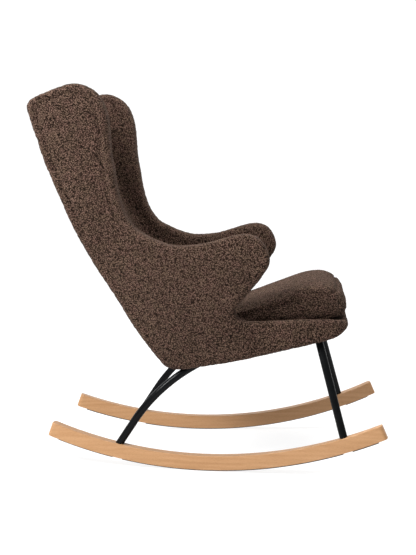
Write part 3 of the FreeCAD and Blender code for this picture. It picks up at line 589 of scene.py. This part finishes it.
# ------------------------------------------------------------------ outlines
BACK_LINE = [(-95, 263), (-107, 276), (-146, 327), (-182, 379), (-213, 431), (-246, 482),
             (-277, 534), (-306, 586), (-332, 637), (-355, 689), (-377, 740), (-398, 791),
             (-415, 842), (-428, 880), (-436, 906), (-441, 922)]
TOP_LINE = [(-438, 937), (-419, 952), (-394, 962), (-374, 970), (-353, 977), (-332, 983),
            (-312, 984), (-291, 978), (-271, 966), (-254, 948)]
WING_FRONT = [(-243, 925), (-236, 900), (-232, 870), (-230, 840), (-227, 805), (-220, 766),
              (-214, 727), (-204, 687), (-187, 647), (-159, 614)]
ARM_LINE = [(-149, 609), (-110, 590), (-71, 578), (-36, 577), (7, 582), (50, 593), (93, 605),
            (123, 608), (150, 599), (168, 577), (177, 545), (173, 528), (164, 514), (150, 493),
            (130, 468), (112, 446), (98, 430), (89, 413), (94, 397), (110, 387)]
BASE_LINE = [(150, 386), (200, 388), (250, 391), (300, 392), (334, 392), (357, 390), (370, 385),
             (375, 376), (370, 365), (359, 355), (341, 344), (280, 327), (199, 307), (117, 288),
             (35, 271), (-6, 263), (-40, 256), (-68, 255)]
SIDE = curve_through(BACK_LINE + TOP_LINE + WING_FRONT + ARM_LINE + BASE_LINE, True, 6)
BACK = curve_through([(-60, 215)] + BACK_LINE, False, 4)

# inner face of the back, before its crown
seg = np.gradient(BACK, axis=0)
seg /= np.linalg.norm(seg, axis=1)[:, None]
for _ in range(6):
    seg[1:-1] = (seg[:-2] + seg[1:-1] * 2 + seg[2:]) / 4
seg /= np.linalg.norm(seg, axis=1)[:, None]
INNER = BACK + np.stack([seg[:, 1], -seg[:, 0]], 1) * 76.0
INNER = np.concatenate([INNER, INNER[-1:] + (INNER[-1] - INNER[-8]) * 3.0])

# ------------------------------------------------------------------ upholstered shell
H = 4.8
LO = np.array([-470.0, -366.0, 232.0])
NX, NZ = int((400 - LO[0]) / H) + 1, int((1004 - LO[2]) / H) + 1
NYH = 77
xs = LO[0] + np.arange(NX) * H
zs = LO[2] + np.arange(NZ) * H
ys = (np.arange(2 * NYH) - NYH + 0.5) * H
LO[1] = ys[0]
GX, GZ = np.meshgrid(xs, zs, indexing="ij")
D_SIDE = polygon_distance(GX, GZ, SIDE)
D_IN = line_distance(GX, GZ, INNER)
U = GX * CT + (GZ - SEAT_Z) * ST
W = -GX * ST + (GZ - SEAT_Z) * CT


def side_faces(x, z):
    """|y| of the outer and inner faces of the sides."""
    plane = 187.4 + 0.196 * x + 0.183 * z
    s = (x + 277) * -0.55 + (z - 534) * 0.835
    tj = smoothstep(-85, 95, s)
    half = 33.1 * (1 - tj) + 32.0 * tj
    mid = plane * (1 - tj) + 252.0 * tj
    out, inn = mid + half, mid - half
    tb = smoothstep(30, 150, x) * smoothstep(442, 386, z)
    out = out * (1 - tb) + np.minimum(out, 283.0) * tb
    inn = inn * (1 - tb) + np.minimum(inn, 252.0) * tb
    return out, inn


Y_OUT, Y_INN = side_faces(GX, GZ)
gx, gz = np.gradient(Y_OUT, H)
LEAN = 1.0 / np.sqrt(1 + gx * gx + gz * gz)
EDGE = 14.0 + 0.0 * GX
half_ys = ys[NYH:]
vals = np.empty((NX, NYH, NZ), np.float32)
for j, y in enumerate(half_ys):
    # whole loaf: side silhouette through the full width, rounded at its outer edge
    dy = (y - Y_OUT) * LEAN
    # panels are slightly crowned
    crown = 5.0 * smoothstep(0, 110, -D_SIDE)
    q1 = D_SIDE + EDGE
    q2 = dy - crown + 3.0 + EDGE
    loaf = np.minimum(np.maximum(q1, q2), 0) + np.hypot(np.maximum(q1, 0), np.maximum(q2, 0)) - EDGE
    # the back bulges a little between the sides, behind and at the top
    loaf = loaf - 5.0 * (1 - smoothstep(90, 235, y)) * smoothstep(60, 0, D_SIDE + 30) * smoothstep(
        300, 380, GZ) * (GX < -120)
    # rounded front corners of the base, in plan
    grow = 200.0 * (1 - smoothstep(190, 262, GX))
    p1 = GX - (381.0 - 62.0)
    p2 = y - (284.5 - 62.0) - grow
    plan = np.minimum(np.maximum(p1, p2), 0) + np.hypot(np.maximum(p1, 0), np.maximum(p2, 0)) - 62.0
    loaf = smax(loaf, plan, 8.0)
    # the sitting space
    belly = 13.0 * (1 - (min(y, 170.0) / 170.0) ** 2) * smoothstep(330, 470, GZ) * smoothstep(985, 860, GZ)
    room = smax(y - Y_INN + 4.0 * smoothstep(20, 90, -D_SIDE), -(D_IN - belly), 34.0)
    room = smax(room, -(W - 42.5), 14.0)
    d = smax(loaf, -room, 18.0)
    # open recess under the seat
    wide = np.interp(U, [-46, 110, 118, 400], [208.5, 242.0, 245.0, 245.0])
    under = np.maximum(np.maximum(W - 26.0, y - wide), np.maximum(-46.0 - U, U - 336.6))
    d = smax(d, -under, 7.0)
    vals[:, j, :] = d
vals = np.concatenate([vals[:, ::-1, :], vals], axis=1)
shell_field = Field(vals, LO, H)
V0, Q0 = surface_nets(vals, LO, H)
V0 = relax(V0, Q0, shell_field, 5)
N0 = vertex_normals(V0, Q0)
# panel seams a finger's width inside the edge of the outer side faces
side_field = Field(np.repeat(D_SIDE[:, None, :], 2, axis=1).astype(np.float32),
                   (LO[0], -2000.0, LO[2]), H)


def flat_distance(p):
    q = p.copy()
    q[:, 1] = -2000.0 + H * 0.5
    return side_field.at(q)


dist = flat_distance(V0)
on_out = smoothstep(0.72, 0.93, N0[:, 1] * np.sign(V0[:, 1]))
upper = smoothstep(395, 430, V0[:, 2]) + smoothstep(-60, -110, V0[:, 0])
seam = np.exp(-((dist + 22.5) / 4.8) ** 2) * on_out * np.clip(upper, 0, 1)
shift = -6.0 * seam * (0.30 + 0.70 * smoothstep(570, 650, V0[:, 2]))
# looped pile: lumps, clusters of lumps and a slow unevenness of the padding
shift = shift + 2.2 * (loops_noise(V0, 9.0, 11) - 0.45) + 0.3 * value_noise(V0, 17.0, 5)
shift = shift + 1.0 * value_noise(V0, 85.0, 7)
hidden = (W_at := (-(V0[:, 0]) * ST + (V0[:, 2] - SEAT_Z) * CT)) < 30.0
inside_recess = hidden & (np.abs(V0[:, 1]) < 240) & (N0[:, 2] < 0.2) & (V0[:, 0] > -40) & (V0[:, 0] < 325)
shift = np.where(inside_recess, 0.0, shift)
V0 = V0 + N0 * shift[:, None]
V0[:, 0] += CX
shell = mesh_from("upholstered_shell", V0, Q0)
shell.data.materials.append(MAT["boucle"])
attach(shell, "chair")
soft_nodes = [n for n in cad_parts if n.startswith((
    "side_outer_pad", "side_inner_pad", "wing_outer_pad", "wing_inner_pad", "base_side_pad"))]
soft_nodes += ["back_outer_pad", "back_inner_pad", "back_top_pad", "base_front_pad", "deck_pad"]
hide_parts(*soft_nodes)

# ------------------------------------------------------------------ loose cushion
CUSH = curve_through([(-6, 44), (-30, 60), (-40, 90), (-30, 118), (0, 120), (60, 123), (105, 126),
                      (151, 130), (209, 138), (255, 144), (300, 149), (335, 147), (361, 139),
                      (382, 123), (395, 100), (399, 78), (398, 56), (390, 43), (370, 43.2), (190, 43.6)], True, 6)
PLAN_U = [-60, 20, 125, 200, 340, 378, 400]
PLAN_W = [197, 212, 231, 245, 248, 243, 238]
HC = 5.6
CLO = np.array([-56.0, -262.0, 34.0])
cu = CLO[0] + np.arange(int((412 - CLO[0]) / HC) + 1) * HC
cw = CLO[2] + np.arange(int((170 - CLO[2]) / HC) + 1) * HC
NCH = 47
cy = (np.arange(2 * NCH) - NCH + 0.5) * HC
CLO[1] = cy[0]
CU, CW = np.meshgrid(cu, cw, indexing="ij")
D_PROF = polygon_distance(CU, CW, CUSH)
prof = Field(np.repeat(D_PROF[:, None, :], 2, axis=1).astype(np.float32), (CLO[0], 0.0, CLO[2]), HC)
wide = np.interp(CU, PLAN_U, PLAN_W)
cv = np.empty((len(cu), NCH, len(cw)), np.float32)
for j, y in enumerate(cy[NCH:]):
    rel = y / 248.0
    squeeze = 1.0 - 0.16 * rel ** 3.0
    w2 = 43.5 + (CW - 43.5) / squeeze
    pts = np.stack([CU.ravel(), np.full(CU.size, HC * 0.5), w2.ravel()], 1)
    d1 = prof.at(pts).reshape(CU.shape)
    # the front corners are rounded in plan, the sides pull in a little between them
    p1 = CU - (412.0 - 78.0)
    p2 = y - (wide - 78.0)
    d2 = np.minimum(np.maximum(p1, p2), 0) + np.hypot(np.maximum(p1, 0), np.maximum(p2, 0)) - 78.0
    cv[:, j, :] = smax(d1 + 2.0, d2 + 2.0, 8.0 + 6.0 * smoothstep(58, 104, w2))
cv = np.concatenate([cv[:, ::-1, :], cv], axis=1)
cf = Field(cv, CLO, HC)
V1, Q1 = surface_nets(cv, CLO, HC)
V1 = relax(V1, Q1, cf, 5)


def to_world(p):
    """Seat-plane (u, y, w) to the model frame, millimetres."""
    return np.stack([CX + p[:, 0] * CT - p[:, 2] * ST, p[:, 1],
                     SEAT_Z + p[:, 0] * ST + p[:, 2] * CT], 1)


def from_world(p):
    x, z = p[:, 0] - CX, p[:, 2] - SEAT_Z
    return np.stack([x * CT + z * ST, p[:, 1], -x * ST + z * CT], 1)


cushion = mesh_from("lounge_cushion", to_world(V1), Q1)


def inflate(ob, pressure, frames, cap):
    """Cloth pressure on the closed cover, then back to a plain mesh, moved at most cap metres."""
    start = coords(ob)
    cl = ob.modifiers.new("Cloth", "CLOTH")
    s = cl.settings
    s.quality = 5
    s.mass = 0.35
    s.tension_stiffness = 18
    s.compression_stiffness = 18
    s.shear_stiffness = 8
    s.bending_stiffness = 1.2
    s.use_pressure = True
    s.uniform_pressure_force = pressure
    s.effector_weights.gravity = 0
    cl.collision_settings.use_collision = False
    cl.collision_settings.use_self_collision = False
    cl.point_cache.frame_start = 1
    cl.point_cache.frame_end = frames
    sc = bpy.context.scene
    for f in range(1, frames + 1):
        sc.frame_set(f)
    dg = bpy.context.evaluated_depsgraph_get()
    me = ob.evaluated_get(dg).to_mesh()
    co = np.empty(len(me.vertices) * 3, np.float32)
    me.vertices.foreach_get("co", co)
    ob.evaluated_get(dg).to_mesh_clear()
    ob.modifiers.remove(cl)
    sc.frame_set(1)
    d = co.reshape(-1, 3).astype(float) - start
    ln = np.maximum(np.linalg.norm(d, axis=1), 1e-9)
    set_coords(ob, start + d * np.minimum(1.0, cap / ln)[:, None])


inflate(cushion, 4.0, 14, 0.004)

# keep it on the deck, then refine and sew
P = from_world(coords(cushion) * 1000.0)
P[:, 2] = np.maximum(P[:, 2], 44.2)
Q1a = np.empty(len(cushion.data.polygons) * 4, np.int32)
cushion.data.polygons.foreach_get("vertices", Q1a)
set_coords(cushion, to_world(P) / 1000.0)
sub = cushion.modifiers.new("Sub", "SUBSURF")
sub.levels = 1
sub.render_levels = 1
dg = bpy.context.evaluated_depsgraph_get()
fine_mesh = bpy.data.meshes.new_from_object(cushion.evaluated_get(dg))
cushion.modifiers.remove(sub)
old = cushion.data
cushion.data = fine_mesh
cushion.data.name = "lounge_cushion"
bpy.data.meshes.remove(old)
qq = np.empty(len(fine_mesh.polygons) * 4, np.int32)
fine_mesh.polygons.foreach_get("vertices", qq)
qq = qq.reshape(-1, 4)
P = coords(cushion) * 1000.0
NN = vertex_normals(P, qq)
S = from_world(P)
rel = np.abs(S[:, 1]) / 248.0
w2 = 43.5 + (S[:, 2] - 43.5) / (1.0 - 0.16 * rel ** 3.0)
nloc = np.stack([NN[:, 0] * CT + NN[:, 2] * ST, NN[:, 1], -NN[:, 0] * ST + NN[:, 2] * CT], 1)
upright = smoothstep(0.35, 0.75, np.hypot(nloc[:, 0], nloc[:, 1]))
# boxing seams run round the cushion below the crown and above the deck
seam_w = np.interp(S[:, 0], [-40, 0, 100, 200, 300, 400], [106, 108, 112, 119, 123, 118])
groove = np.exp(-((w2 - seam_w) / 3.2) ** 2) * upright + 0.8 * np.exp(-((w2 - 56.0) / 3.0) ** 2) * upright
move = -3.6 * groove + 2.1 * (loops_noise(P, 9.0, 31) - 0.45) + 0.3 * value_noise(P, 17.0, 15)
move = move + 1.2 * value_noise(P, 70.0, 17)
move = np.where(S[:, 2] < 48.0, 0.0, move)
P = P + NN * move[:, None]
set_coords(cushion, P / 1000.0)
cushion.data.polygons.foreach_set("use_smooth", np.ones(len(fine_mesh.polygons), bool))
cushion.data.materials.clear()
cushion.data.materials.append(MAT["boucle"])
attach(cushion, "seat_cushion")
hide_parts("seat_cushion")

# ------------------------------------------------------------------ floor, light, camera
floor_mesh = bpy.data.meshes.new("studio_floor")
floor_mesh.from_pydata([(-40, -40, 0), (40, -40, 0), (40, 40, 0), (-40, 40, 0)], [], [(0, 1, 2, 3)])
floor = bpy.data.objects.new("studio_floor", floor_mesh)
bpy.context.scene.collection.objects.link(floor)
fm, fnt, fbs = new_mat("studio_floor")
fn = noise(fnt, place(fnt), 2.0, 2.0, 0.5)
fnt.links.new(ramp(fnt, fn.outputs["Fac"], [(0.3, (0.27, 0.27, 0.27)), (0.7, (0.29, 0.29, 0.29))]),
              fbs.inputs["Base Color"])
fbs.inputs["Roughness"].default_value = 0.9
fbs.inputs["Specular IOR Level"].default_value = 0.1
fbs.inputs["Emission Color"].default_value = (1.0, 1.0, 1.0, 1.0)
fbs.inputs["Emission Strength"].default_value = 0.845
floor.data.materials.append(fm)

world = bpy.data.worlds.new("studio")
bpy.context.scene.world = world
world.use_nodes = True
wt = world.node_tree
bg = wt.nodes["Background"]
bg.inputs["Strength"].default_value = 1.0
# brightest behind the chair, softer from the front and the right
wc = wt.nodes.new("ShaderNodeTexCoord")
wx = wt.nodes.new("ShaderNodeSeparateXYZ")
wt.links.new(wc.outputs["Generated"], wx.inputs["Vector"])
wsum = math_node(wt, "ADD", math_node(wt, "MULTIPLY", wx.outputs["Y"], 0.5),
                 math_node(wt, "MULTIPLY", wx.outputs["X"], -0.22))
wt.links.new(ramp(wt, math_node(wt, "ADD", wsum, 0.5), [(0.10, (0.36, 0.36, 0.36)), (0.50, (0.49, 0.49, 0.49)),
                                                      (0.86, (1.06, 1.06, 1.06))]), bg.inputs["Color"])


def area(name, loc, target, size, power, color=(1, 1, 1)):
    li = bpy.data.lights.new(name, "AREA")
    li.shape = "RECTANGLE"
    li.size, li.size_y = size
    li.energy = power
    li.color = color
    ob = bpy.data.objects.new(name, li)
    bpy.context.scene.collection.objects.link(ob)
    ob.location = loc
    d = Vector(target) - Vector(loc)
    ob.rotation_euler = d.to_track_quat("-Z", "Y").to_euler()
    return ob


area("key", (-1.22, -1.56, 1.98), (-0.15, -0.2, 0.76), (0.7, 1.0), 92.0)
area("top", (0.5, 0.3, 3.0), (0.2, 0.0, 0.4), (1.4, 1.4), 70.0)

cam = bpy.data.cameras.new("camera")
cam_ob = bpy.data.objects.new("camera", cam)
bpy.context.scene.collection.objects.link(cam_ob)
yaw, pitch = -0.0769, 0.0847
fwd = Vector((math.sin(yaw) * math.cos(pitch), math.cos(yaw) * math.cos(pitch), -math.sin(pitch)))
right = fwd.cross(Vector((0, 0, 1))).normalized()
up = right.cross(fwd)
rot = Matrix((right, up, -fwd)).transposed().to_4x4()
cam_ob.matrix_world = Matrix.Translation((0.2573, -3.5412, 0.7743)) @ rot
cam.sensor_width = 36.0
cam.lens = 1300.5 * 36.0 / 555.0
cam.clip_end = 200.0
bpy.context.scene.camera = cam_ob
bpy.context.scene.view_settings.view_transform = "Standard"
